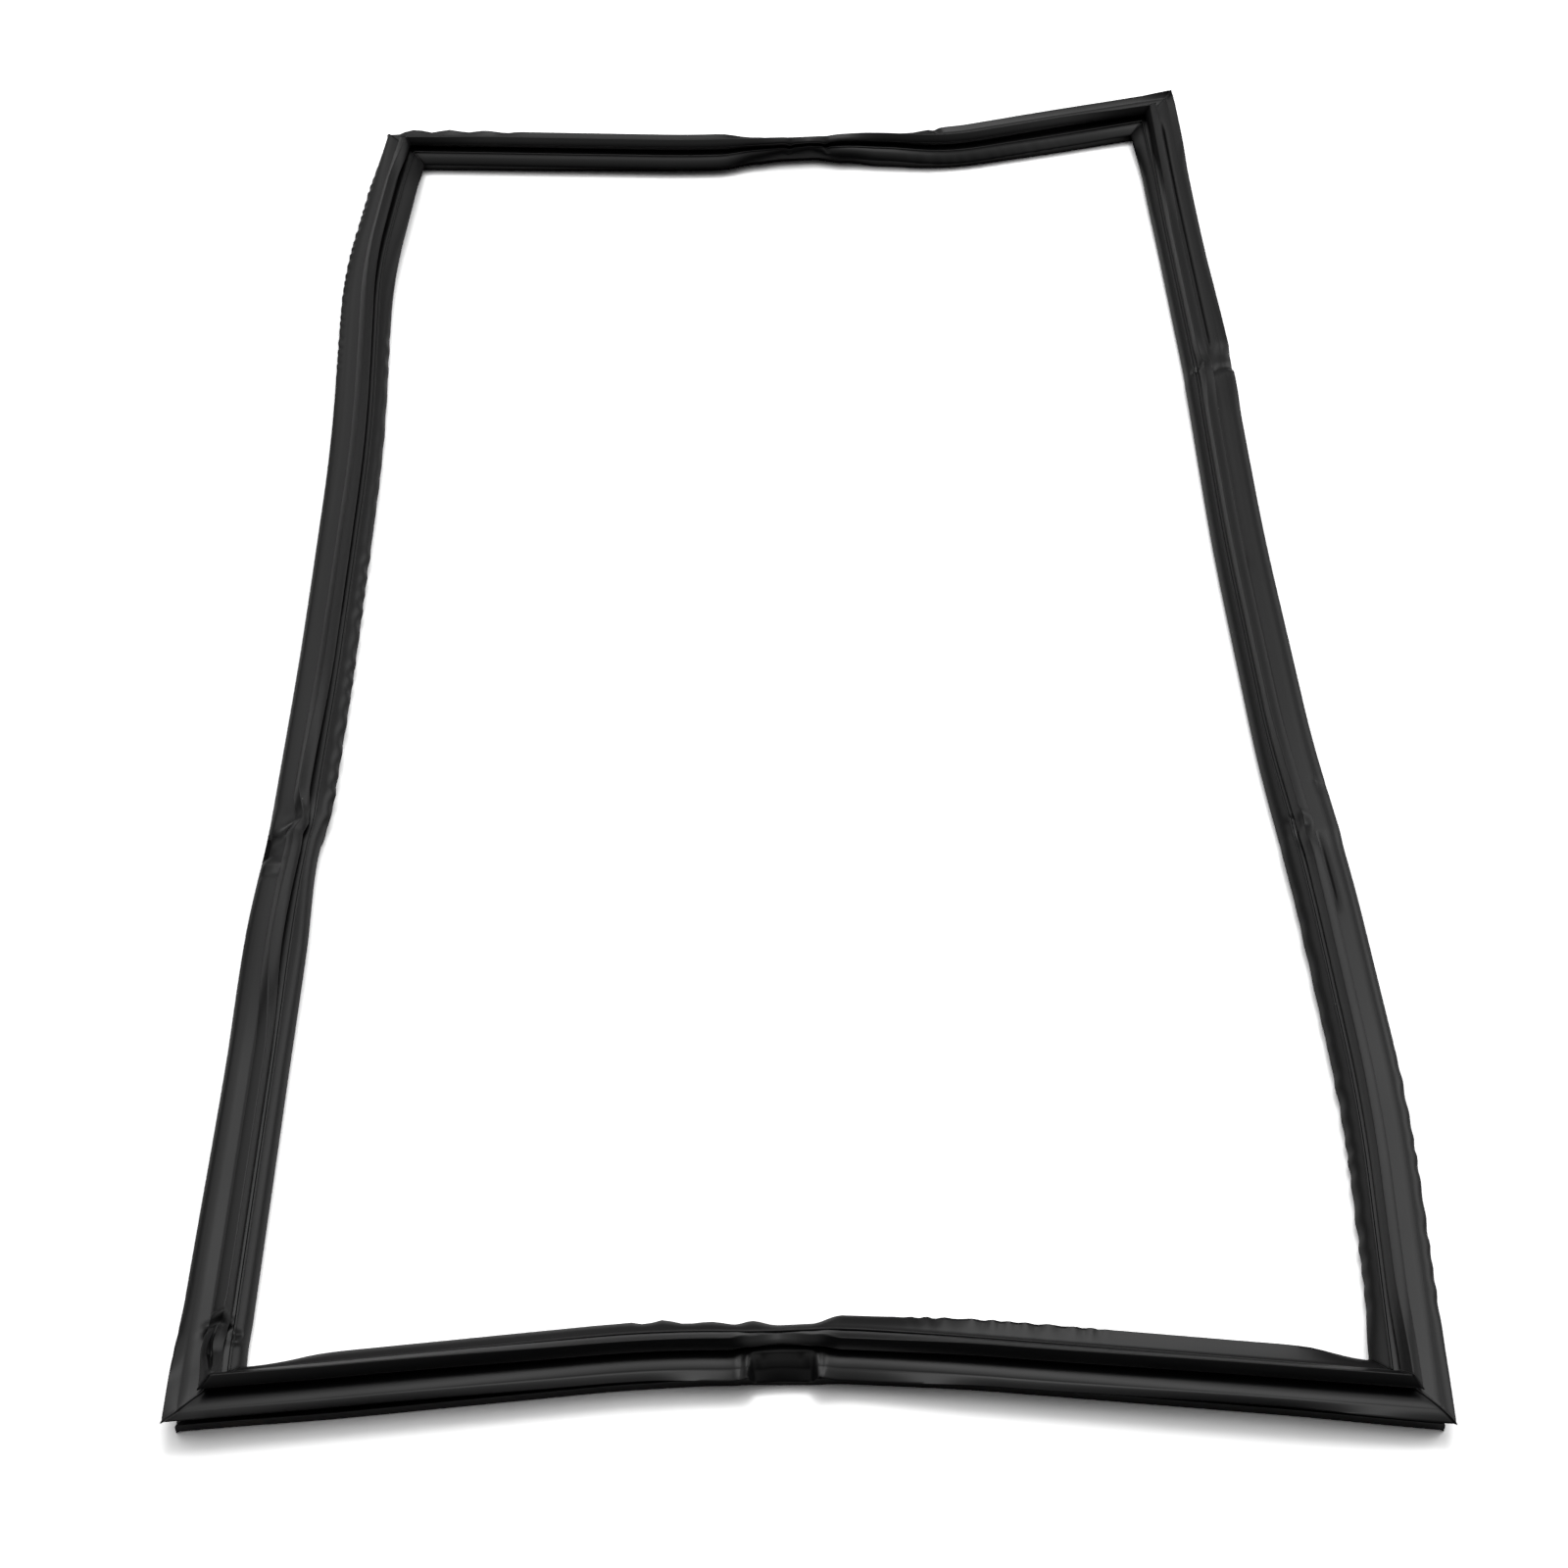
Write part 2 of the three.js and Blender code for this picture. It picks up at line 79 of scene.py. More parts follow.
# The four sides, counterclockwise. A bend is the share of the way to the next corner, the bow outwards and
# the length over which it is rounded. A key is a share of the side's length and the state there.
SIDES = [
    {
        "name": "near",
        "from": "near_left",
        "to": "near_right",
        "bends": [(0.37, -22.5, 60), (0.444, -22, 20), (0.524, -23.5, 20), (0.604, -20.5, 60)],
        "keys": [
            (0.114, -4, 0, 1.5, -15, 24, 0),
            (0.36, 2, 6, 1.5, -12, 30, 0),
            (0.432, 2, 4, 0.5, 6, 40, 0),
            (0.451, -5, -11, 0, 2, 22, 1.6),
            (0.476, -8, -18, 0.5, 14, 35, 2.4),
            (0.502, -4, -8, 1, 2, 40, 1.6),
            (0.528, 4, 9, 0.7, 15, 22, 0),
            (0.663, 1, 2, -0.5, -12, 0, 0),
            (0.891, -5, 2, -0.5, -16, -6, 0),
        ],
    },
    {
        "name": "right",
        "from": "near_right",
        "to": "far_right",
        "bends": [
            (0.144, 9.7, 90),
            (0.287, 7, 70),
            (0.384, 0.7, 60),
            (0.545, -1.3, 90),
            (0.703, 1.4, 60),
            (0.879, -0.3, 90),
        ],
        "keys": [
            (0.055, -7, -16, 0, 33, 45, 0),
            (0.273, -7, -16, 0, 36, 40, 0),
            (0.306, -6, -13, -1, 36, 38, 0),
            (0.319, -8, -20, -1, 28, 43, 1.0),
            (0.334, -8, -19, -1, 29, 43, 0.3),
            (0.41, -10, -24, 0, 30, 48, 0),
            (0.655, -10, -24, 0, 34, 47, 0),
            (0.694, -6, -14, 1, 18, 48, 0.8),
            (0.71, -10, -23, 1, 20, 50, 2),
            (0.728, -10, -24, 0, 14, 50, 0),
            (0.837, -10, -24, 0, 34, 50, 0),
            (0.919, -7, -15, 0, 30, 44, 0),
            (0.986, -11.5, -5, -2.7, -3, 15, 0),
        ],
    },
    {
        "name": "far",
        "from": "far_right",
        "to": "far_left",
        "bends": [(0.289, -33.4, 50), (0.386, -24.5, 40), (0.47, -25, 40), (0.613, -25, 60)],
        "keys": [
            (0.03, -12.5, -1, -3, -8, 12, 0),
            (0.128, -14, 17, -3, -6, 14, 0),
            (0.275, -12, 9, -1, -4, 24, 0),
            (0.376, -1, -3, -0.5, 40, 34, 0),
            (0.426, 4, 12, 3, 34, 46, 1.5, 2),
            (0.468, 2, 4, 3, 46, 50, 2.5, 8.5),
            (0.505, 2, 6, 3, 38, 46, 1.5, 8.5),
            (0.54, 0, 1, 3, 20, 38, 0.8, 6),
            (0.587, -7, 8, 3, 0, 28, 0),
            (0.881, -7, 9, -0.5, -2, 26, 0),
            (0.972, -7, -2, -1.3, 2, 25, 0),
        ],
    },
    {
        "name": "left",
        "from": "far_left",
        "to": "near_left",
        "bends": [(0.153, 10, 90), (0.335, -1, 120), (0.541, -2.3, 60), (0.662, -1.7, 40), (0.718, 0.8, 50)],
        "keys": [
            (0.057, 3, 7, 0.5, 30, 16, 0),
            (0.239, -0.5, -1, 0, 18, 42, 0),
            (0.536, -2, -5, -1.5, 42, 39, 0),
            (0.641, 3, 8, -1, 38, 40, 0),
            (0.66, -4, -10, -1, 44, 42, 1.8, 1.5),
            (0.675, -1, -3, 0, 42, 48, 0.5, 3),
            (0.746, 2, 4, -0.5, 27, 45, 0),
            (0.822, -5, -26, 1, 44, 47, 0),
            (0.955, -6, -25, 1, 34, 47, 0),
            (0.966, -7, -19, 1, 26, 47, 0.4),
            (0.974, -6, -10, 1, 12, 49, 2.3, 0, 0.25),
            (0.984, -5, -4, 0.5, -4, 50, 2.8, 0, 0.9),
            (0.993, -7, -3, 0, -8, 48, 1.2, 0, 0.5),
        ],
    },
]

# Waves along a lip: side, lip, share where they begin and end, wavelength (mm) and height (mm). They grow
# towards the lip's edge by a power, set in over a share of the side, and drift and swell slowly so that no
# two are alike.
WAVES = [
    ("left", "outer", 0.02, 0.28, 10, 0.6),
    ("left", "inner", 0.42, 0.69, 19, 1.0),
    ("left", "inner", 0.2, 0.42, 30, 0.5),
    ("right", "outer", 0.02, 0.19, 15.5, 0.5),
    ("right", "inner", 0.03, 0.19, 15.5, 0.9),
    ("right", "inner", 0.17, 0.3, 24, 0.6),
    ("near", "inner", 0.56, 0.76, 9, 0.6),
    ("near", "inner", 0.34, 0.46, 22, 1.3),
    ("far", "inner", 0.12, 0.36, 9, 0.35),
    ("far", "outer", 0.84, 0.985, 24, 1.3),
]
WAVE_GROWTH = 1.6
WAVE_FADE = 0.03
WAVE_DRIFT = 1.3
WAVE_DRIFT_RATE = 0.23
WAVE_SWELL = 0.25
WAVE_SWELL_RATE = 0.37
WAVE_SWELL_START = 1

# Creases across the top: side, share, slant (mm along for each mm outwards), half width (mm), depth (mm,
# raised where below zero), and the stretch of the section that they cross (mm from the dart, outwards
# positive)
CREASES = [
    ("near", 0.443, 0.0, 1.3, 0.7, 5, 17),
    ("near", 0.4555, 0.1, 1.3, -0.6, 5, 17),
    ("near", 0.461, 0.0, 1.1, 0.5, 5, 17),
    ("near", 0.493, 0.0, 1.1, 0.5, 5, 17),
    ("near", 0.499, -0.1, 1.3, -0.6, 5, 17),
    ("near", 0.511, -0.1, 1.3, 0.6, 5, 17),
    ("left", 0.659, 1.1, 2.4, -0.9, 2, 18),
    ("left", 0.665, 1.0, 2.8, 0.9, 2, 18),
    ("left", 0.69, 0.2, 2.2, -0.5, 4, 18),
    ("left", 0.696, 0.2, 2.4, 0.4, 4, 18),
    ("left", 0.9705, 0.2, 1.6, 1.2, -6, 5),
    ("left", 0.967, 0.2, 1.6, -0.8, -6, 5),
    ("left", 0.973, -0.3, 2.2, 1.0, -17, -8),
    ("left", 0.979, -0.3, 2.2, -1.0, -17, -8),
    ("right", 0.318, 0.4, 2.6, 0.7, -15, -2),
    ("right", 0.324, -0.4, 2.4, -0.7, -15, -2),
    ("right", 0.353, -0.3, 3.0, 0.6, 11, 18),
    ("right", 0.706, 0.4, 2.4, 1.2, -18, -3),
    ("right", 0.7, 0.5, 3.5, 0.8, 3, 18),
    ("far", 0.452, 0.3, 2.2, 1.3, -18, -2),
    ("far", 0.472, 0.0, 3.4, -0.6, -18, -2),
    ("far", 0.494, -0.3, 2.2, 1.3, -18, -2),
    ("far", 0.289, 0.5, 3.0, 1.4, 10, 18),
]
# How far past either end of its stretch a crease fades out (mm)
CREASE_EDGE = 1.5

# Creases press the skin above TOP_FROM, in full TOP_RISE further up (mm)
TOP_FROM = 9.0
TOP_RISE = 2.0

# Stretches where the flange is folded down about a line beside the dart: side, share where it begins and
# ends, angle (degrees, down outwards) and the length over which the fold sets in (mm)
TILTS = [
    ("near", 0.4475, 0.507, 33, 4),
    ("left", 0.668, 0.69, 12, 7),
    ("right", 0.7, 0.727, 9, 8),
]
# The fold's line, from the dart's plane, the heights between which the flange lies, and the rise over which
# the fold takes hold there (mm)
TILT_PIVOT = 3.0
FLANGE_FROM = 9.5
FLANGE_TO = 15.5
FLANGE_RISE = 0.8

# Troughs along the web: side, share where they begin and end, distance from the dart's plane, half width
# and depth (mm)
TROUGHS = [
    ("right", 0.72, 0.985, 3.8, 1.5, 1.3),
    ("right", 0.52, 0.7, 3.9, 1.4, 0.5),
    ("right", 0.262, 0.318, 3.8, 1.5, 1.0),
    ("left", 0.02, 0.5, -2.6, 1.2, 0.6),
]
TROUGH_FADE = 12.0
# Heights between which the web's top lies, and the rise over which a trough takes hold there (mm)
WEB_BAND = (10.5, 13.6)
WEB_BAND_EDGE = 0.6

# Places where a kink has pushed the dart sideways: side, share, half length (mm) and offset outwards (mm)
JOGS = [
    ("left", 0.662, 6, -1.2),
    ("left", 0.672, 5, 0.8),
    ("right", 0.309, 6, -0.9),
    ("right", 0.321, 6, 0.9),
    ("right", 0.706, 5, 1.0),
    ("near", 0.451, 4, 0.6),
    ("near", 0.503, 4, 0.5),
    ("far", 0.45, 4, -0.8),
    ("far", 0.495, 4, -0.8),
    ("left", 0.98, 8, 1.6),
]
# The dart moves above JOG_FOOT, in full JOG_RISE further up, and only within JOG_REACH of its plane (mm)
JOG_FOOT = 12.5
JOG_RISE = 4.0
JOG_REACH = 9.0

# The dome's panels: azimuth from +Y towards +X, elevation, radius of the full light and of its edge
# (degrees), and brightness
PANELS = [
    (8, 60, 4, 17, 2.3),
    (50, 28, 6, 20, 1.3),
    (-33, 39, 8, 22, 0.42),
    (-12, 26, 3, 10, 0.4),
]

# The tent is full where its direction's Z is above the second height and dims to a share at the first.
# It dims again towards the front, where Y falls from the second value to the first.
TENT_HEIGHTS = (0.45, 0.9)
HORIZON_SHARE = 0.3
FRONT_FADE = (-0.8, 0.2)
FRONT_SHARE = 0.04

# The lips: the part of its droop that a lip has at its root, what it gains along it, how far its top lies
# below the web's (mm), how much of its thickness turns with it, and its edge's bulge as a share of the edge
LIP_ROOT_DROOP = 0.4
LIP_DROOP_GAIN = 1.2
LIP_DROP = 0.3
LIP_TURN = 0.6
LIP_EDGE_ROUND = 0.4

# The bellows and the web (mm): the height about which the web leans, where the bellows join the web, fold and
# stand on the pocket, the round of a fold, the groove at the outer lip's root, points on the web between the
# dart and the lips (on the flange as shares of its reach), the bead and the pocket's rounded edges (degrees)
LEAN_PIVOT = 8.0
BELLOWS_JOINT_OUTER = 8.2
BELLOWS_JOINT_INNER = 7.2
BELLOWS_FOLD_OUTER = 5.5
BELLOWS_FOLD_INNER = 4.6
BELLOWS_FOOT = 8.8
FOLD_ROUND = 0.5
FOLD_ABOVE = 0.3
FOLD_BELOW = 0.4
GROOVE_HALF = 0.5
GROOVE_DEPTH = 0.2
GROOVE_EDGE = 0.02
FLANGE_POINTS = (0.66, 0.52, 0.45, 0.39, 0.33, 0.27)
WEB_POINTS = (2.7, 3.4, 4.2)
BEAD_FOOT = 1.2
BEAD_SINK = 0.1
BEAD_FULLNESS = 0.8
BEAD_STEPS = 6
EDGE_ANGLES = (0, 30, 60, 90)

# The dart: the fillet at its foot, the fillet under a barb and the barb's nose, the middle of its flank as
# shares of the barb's reach and of the rise to the peak, and the peak's round. Pairs are offsets outwards and
# upwards (mm). Then how much of a dip the barbs follow, how a split opens the peak, and where on the section
# the inner half is pushed in.
FOOT_FILLET = ((0.9, 0.0), (0.25, 0.2), (0.0, 0.8))
BARB_FILLET = ((0.0, -0.5), (0.3, -0.15))
BARB_NOSE = ((-0.45, -0.7), (-0.02, -0.45), (0.04, -0.15), (-0.1, 0.12))
FLANK_MIDDLE = (0.55, 0.47)
PEAK_SHOULDER = (0.47, -0.22)
PEAK_TIP = (0.175, -0.03)
BARB_DIP_SHARE = 0.6
SPLIT_DEPTH = 3.0
SPLIT_SHOULDER_DROP = 0.3
SQUASH_FROM = 3.0
SQUASH_RUN = 13.0

# A weld: distances from it of the cross-sections that draw it, and its raised flash and the fine groove
# beside it
WELD_STEPS = (0.0, 0.22, 0.45, 0.7, 1.0, 1.4, 2.0)
WELD_FLASH = 0.45
WELD_FLASH_HALF = 0.35
WELD_GROOVE = 0.12
WELD_GROOVE_AT = 0.9
WELD_GROOVE_HALF = 0.4

# Distance between cross-sections near a crease, how far from it that holds (mm), and their count in a wave
KINK_SPACING = 1.1
KINK_REACH = 8.0
WAVE_STEPS = 5

# Edges sharper than this are shaded as edges (degrees)
SHARP_ANGLE = 50

# The PVC's die lines: how often they change along a metre, coarse and fine, how many fine ones lie in a
# coarse one, and the fine ones' share. Then its uneven gloss, to a metre and in roughness, and the share of
# cells without dust.
COARSE_CHANGES = 1.2
FINE_CHANGES = 2.5
FINE_LINES = 4
FINE_SHARE = 0.35
LINE_STRENGTH = 0.5
CLOUDS = 9.0
ROUGHNESS_BELOW = 0.05
ROUGHNESS_ABOVE = 0.07
CLEAN_SHARE = 0.6

# The ferrite's grain to a metre, the shade of its dark grains and its dull surface
FERRITE_GRAINS = 1400.0
FERRITE_SHADE = 0.6
FERRITE_ROUGHNESS = 0.7
FERRITE_IOR = 1.6

# The camera's film (mm) and how far it sees (m)
SENSOR_WIDTH = 36
VIEW_DEPTH = 100


def length_of(name, millimetres, description):
    """A length that the user can change, stated in millimetres."""
    return FloatProperty(
        name=name,
        description=description,
        default=millimetres * MM,
        min=0.0,
        precision=5,
        unit="LENGTH",
        subtype="DISTANCE",
    )


def number_of(name, value, description, **limits):
    """A number that the user can change, with its limits, unit or subtype."""
    return FloatProperty(name=name, description=description, default=value, **limits)


def colour_of(name, hex_text, description):
    """A colour that the user can change, stated as sRGB hex."""
    return FloatVectorProperty(
        name=name,
        description=description,
        default=linear(hex_text),
        min=0.0,
        max=1.0,
        size=4,
        subtype="COLOR",
    )


def linear(hex_text):
    """Linear RGBA of an sRGB hex colour."""
    values = [int(hex_text[i : i + 2], 16) / 255 for i in (1, 3, 5)]
    return tuple(v / 12.92 if v <= 0.04045 else ((v + 0.055) / 1.055) ** 2.4 for v in values) + (1.0,)


class GasketSizes(bpy.types.PropertyGroup):
    """Driving sizes of the frame and of its extruded section."""

    frame_width: length_of("Frame width", 528, "Between the dart's near corners")
    frame_length: length_of("Frame length", 1095, "From the dart's near right corner to its far right one")
    face_outer: length_of("Face outwards", 12.5, "From the dart's plane to the pocket's outer wall")
    face_inner: length_of("Face inwards", 13, "From the dart's plane to the inner wall of the air chamber")
    wall_round: length_of("Wall round", 0.5, "Radius of the pocket's edges")
    flange_reach: length_of("Flange reach", 12, "From the dart's plane to the root of the outer lip")
    outer_lip: length_of("Outer lip", 5.4, "Length of the outer lip")
    inner_root: length_of("Inner lip root", 9.2, "From the dart's plane to the root of the inner lip")
    inner_lip: length_of("Inner lip", 8.6, "Length of the inner wiper lip")
    lip_thickness: length_of("Lip thickness", 0.9, "Thickness of a lip at its root")
    lip_edge: length_of("Lip edge", 0.5, "Thickness of a lip at its edge")
    stem_half: length_of("Stem half", 1.2, "Half of the dart's stem")
    barb_outer: length_of("Outer barb", 4, "Reach of the dart's outer barb")
    barb_inner: length_of("Inner barb", 4.7, "Reach of the dart's inner barb")
    bead_centre: length_of("Bead centre", 7.9, "From the dart's plane to the bead on the web")
    bead_half: length_of("Bead half", 0.8, "Half width of the bead")
    bead_rise: length_of("Bead rise", 0.9, "Height of the bead above the web")
    pocket_height: length_of("Pocket height", 5.2, "Height of the magnet pocket over the sealing face")
    fold_height: length_of("Fold height", 8.2, "Height of the fold of the bellows")
    web_underside: length_of("Web underside", 10.9, "Height of the web's underside")
    web_top: length_of("Web top", 12.1, "Height of the web's top")
    barb_height: length_of("Barb height", 16.4, "Height of the dart's barbs")
    peak_height: length_of("Peak height", 20, "Height of the dart's peak")
    mitre_run: length_of("Mitre run", 45, "Length over which cross-sections turn into the weld's plane")
    spacing: length_of("Spacing", 6.4, "Distance between cross-sections on the plain stretches")
    lip_steps: IntProperty(name="Lip steps", description="Points along each lip", default=6, min=2, max=16)


class GasketLook(bpy.types.PropertyGroup):
    """Colours and finish of the gasket's materials."""

    pvc_colour: colour_of("PVC colour", "#101011", "Colour of the soft black PVC")
    pvc_roughness: number_of("PVC roughness", 0.33, "Roughness of the sheen", min=0, max=1)
    pvc_ior: number_of("PVC index", 1.53, "Index of refraction of plasticised PVC", min=1)
    line_pitch: length_of("Line pitch", 0.9, "Distance between the coarser die lines")
    line_depth: length_of("Line depth", 0.017, "Depth of the die lines")
    dust_colour: colour_of("Dust colour", "#8a8a88", "Colour of the specks of dust")
    dust_spacing: length_of("Dust spacing", 14, "Size of the cells that hold a speck of dust at most")
    dust_size: length_of("Dust size", 0.35, "Radius of a speck of dust")
    ferrite_colour: colour_of("Ferrite colour", "#3a3531", "Colour of the bonded magnetic strip")


class StageLook(bpy.types.PropertyGroup):
    """Floor, lights and camera."""

    floor_colour: colour_of("Floor colour", "#f4f4f4", "Colour of the pale floor")
    floor_size: length_of("Floor size", 16000, "Edge of the square floor")
    floor_gain: number_of("Floor gain", 4.4, "Brightness of the floor to the eye", min=1)
    mirror_gain: number_of("Mirror gain", 1.3, "Brightness of the floor in mirrors", min=1)
    tent_light: number_of("Tent light", 0.46, "Brightness of the white tent", min=0)
    box_light: number_of("Box light", 1.0, "Share of the soft boxes' brightness", min=0)
    lens: number_of("Lens", 63, "Focal length in millimetres", min=10, subtype="DISTANCE_CAMERA")
    pitch: number_of("Pitch", math.radians(43.5), "Tilt of the camera below the horizon", subtype="ANGLE")
    camera_height: length_of("Camera height", 1030, "Height of the camera over the floor")
    camera_back: number_of("Camera Y", -1.23725, "Place of the camera along Y", unit="LENGTH")
    camera_side: number_of("Camera X", -0.00251, "Place of the camera along X", unit="LENGTH")


# The sweep


class Route:
    """The centreline of a side: straight stretches between its bends, each bend rounded by a parabola."""

    def __init__(self, side, size):
        scale = np.array([size.frame_width, size.frame_length]) / MM
        start = np.array(CORNERS[side["from"]]) * scale
        end = np.array(CORNERS[side["to"]]) * scale
        across = end - start
        outwards = np.array([across[1], -across[0]]) / np.linalg.norm(across)
        bends = [start + share * across + bow * outwards for share, bow, _ in side["bends"]]
        self.name = side["name"]
        self.points = np.array([start, *bends, end])
        self.rounds = [0.0] + [run / 2 for _, _, run in side["bends"]] + [0.0]
        steps = np.linalg.norm(np.diff(self.points, axis=0), axis=1)
        self.places = np.concatenate([[0.0], np.cumsum(steps)])
        self.length = float(self.places[-1])
        keys = [(0.0, *CORNER_STATES[side["from"]]), *side["keys"], (1.0, *CORNER_STATES[side["to"]])]
        self.keys = np.array([key + (0,) * (1 + len(STATE_NAMES) - len(key)) for key in keys], dtype=float)

    def direction(self, i):
        step = self.points[i + 1] - self.points[i]
        return step / np.linalg.norm(step)

    def at(self, place):
        """Points and directions at an array of places. Past its ends the side goes on straight."""
        place = np.asarray(place, dtype=float)
        last = len(self.points) - 2
        leg = np.clip(np.searchsorted(self.places, place, side="right") - 1, 0, last)
        legs = np.array([self.direction(i) for i in range(last + 1)])
        direction = legs[leg]
        point = self.points[leg] + direction * (place - self.places[leg])[..., None]
        for i in range(1, last + 1):
            run = 2 * self.rounds[i]
            t = (place - self.places[i] + self.rounds[i]) / run
            inside = (t > 0) & (t < 1)
            t = t[..., None]
            start = self.points[i] - self.rounds[i] * legs[i - 1]
            end = self.points[i] + self.rounds[i] * legs[i]
            curve = start * (1 - t) ** 2 + 2 * self.points[i] * t * (1 - t) + end * t**2
            point = np.where(inside[..., None], curve, point)
            direction = np.where(inside[..., None], legs[i - 1] * (1 - t) + legs[i] * t, direction)
        return point, direction / np.linalg.norm(direction, axis=-1, keepdims=True)

    def state(self, place):
        """Eased values of the state between the keys, as a dict of arrays."""
        share = np.clip(place / self.length, 0, 1)
        i = np.clip(np.searchsorted(self.keys[:, 0], share, side="right") - 1, 0, len(self.keys) - 2)
        before, after = self.keys[i], self.keys[i + 1]
        t = smooth((share - before[:, 0]) / (after[:, 0] - before[:, 0]))
        return {name: before[:, k + 1] * (1 - t) + after[:, k + 1] * t for k, name in enumerate(STATE_NAMES)}


def smooth(t):
    """Eased step from 0 to 1."""
    t = np.clip(t, 0, 1)
    return t * t * (3 - 2 * t)


def weld_slope(before, after):
    """Slope of the weld between two directions: the tangent of half their turn."""
    return math.tan(math.acos(max(-1.0, min(1.0, float(before @ after)))) / 2)


def routes(size):
    """The four sides with the slopes of their welds."""
    made = [Route(side, size) for side in SIDES]
    for i, route in enumerate(made):
        previous, following = made[i - 1], made[(i + 1) % len(made)]
        route.start_slope = weld_slope(previous.direction(len(previous.points) - 2), route.direction(0))
        route.end_slope = weld_slope(route.direction(len(route.points) - 2), following.direction(0))
    return made


def step_at(route, place, spacing):
    """Distance to the next cross-section: short at a crease and in waves, else the spacing."""
    share = place / route.length
    here = [at for side, at, *_ in CREASES if side == route.name]
    if any(abs(share - at) * route.length < KINK_REACH for at in here):
        return KINK_SPACING
    steps = [
        wavelength / WAVE_STEPS
        for side, _, start, end, wavelength, _ in WAVES
        if side == route.name and start < share < end
    ]
    return min([spacing, *steps])


def stations(route, size):
    """Places of the cross-sections: close at the welds, creases and waves, wider on the plain stretches."""
    spacing = size.spacing / MM
    first = WELD_STEPS[-1] + KINK_SPACING
    places = [first]
    while places[-1] < route.length - first:
        places.append(places[-1] + step_at(route, places[-1], spacing))
    between = [place for place in places if place < route.length - first]
    ends = [route.length - step for step in reversed(WELD_STEPS)]
    return np.array([*WELD_STEPS, *between, *ends])


def turned(u, v, degrees, pivot):
    """Turns section points outwards about a pivot on the centre plane."""
    angle = np.radians(degrees)
    rise = v - pivot
    return u * np.cos(angle) + rise * np.sin(angle), pivot + rise * np.cos(angle) - u * np.sin(angle)


def lip(sign, root, length, droop, size):
    """Upper and lower line of a lip from its root: it droops by an angle that grows along it."""
    steps = size.lip_steps
    shares = np.arange(steps + 1) / steps
    middles = (shares[1:] + shares[:-1]) / 2
    angles = np.radians(droop[:, None] * (LIP_ROOT_DROOP + LIP_DROOP_GAIN * middles))
    zero = np.zeros((len(droop), 1))
    step = length / steps
    u = root + np.hstack([zero, np.cumsum(step * np.cos(angles), axis=1)])
    top = size.web_top / MM - LIP_DROP
    v = top - np.hstack([zero, np.cumsum(step * np.sin(angles), axis=1)])
    thickness = (size.lip_thickness * (1 - shares) + size.lip_edge * shares) / MM
    half = np.hstack([angles[:, :1], angles])
    below_u = u - thickness * np.sin(half) * LIP_TURN
    below_v = v - thickness * (1 - LIP_TURN + LIP_TURN * np.cos(half))
    return sign * u, v, sign * below_u, below_v


def dart_half(sign, reach, state, size):
    """One half of the arrow dart, from its foot to its peak: outwards with sign 1, inwards with sign -1."""
    stem, web = size.stem_half / MM, size.web_top / MM
    peak = size.peak_height / MM - state["dip"]
    barb = size.barb_height / MM - state["dip"] * BARB_DIP_SHARE
    split = state["split"]
    flank_reach, flank_rise = FLANK_MIDDLE
    shoulder_u, shoulder_v = PEAK_SHOULDER
    tip_u, tip_v = PEAK_TIP
    points = [(stem + out, web + up) for out, up in FOOT_FILLET]
    points += [(stem + out, barb + up) for out, up in BARB_FILLET]
    points += [(reach + out, barb + up) for out, up in BARB_NOSE]
    points.append((reach * flank_reach, barb + (peak - barb) * flank_rise))
    points.append((shoulder_u + split, peak + shoulder_v - SPLIT_SHOULDER_DROP * split))
    points.append((tip_u, peak + tip_v - SPLIT_DEPTH * split))
    return [turned(sign * u, v, state["dart"], web) for u, v in points]


def dart_points(state, size):
    """The arrow dart from its outer foot over the peak to its inner foot."""
    outer = dart_half(1, size.barb_outer / MM, state, size)
    inner = dart_half(-1, size.barb_inner / MM, state, size)
    return outer + inner[::-1]


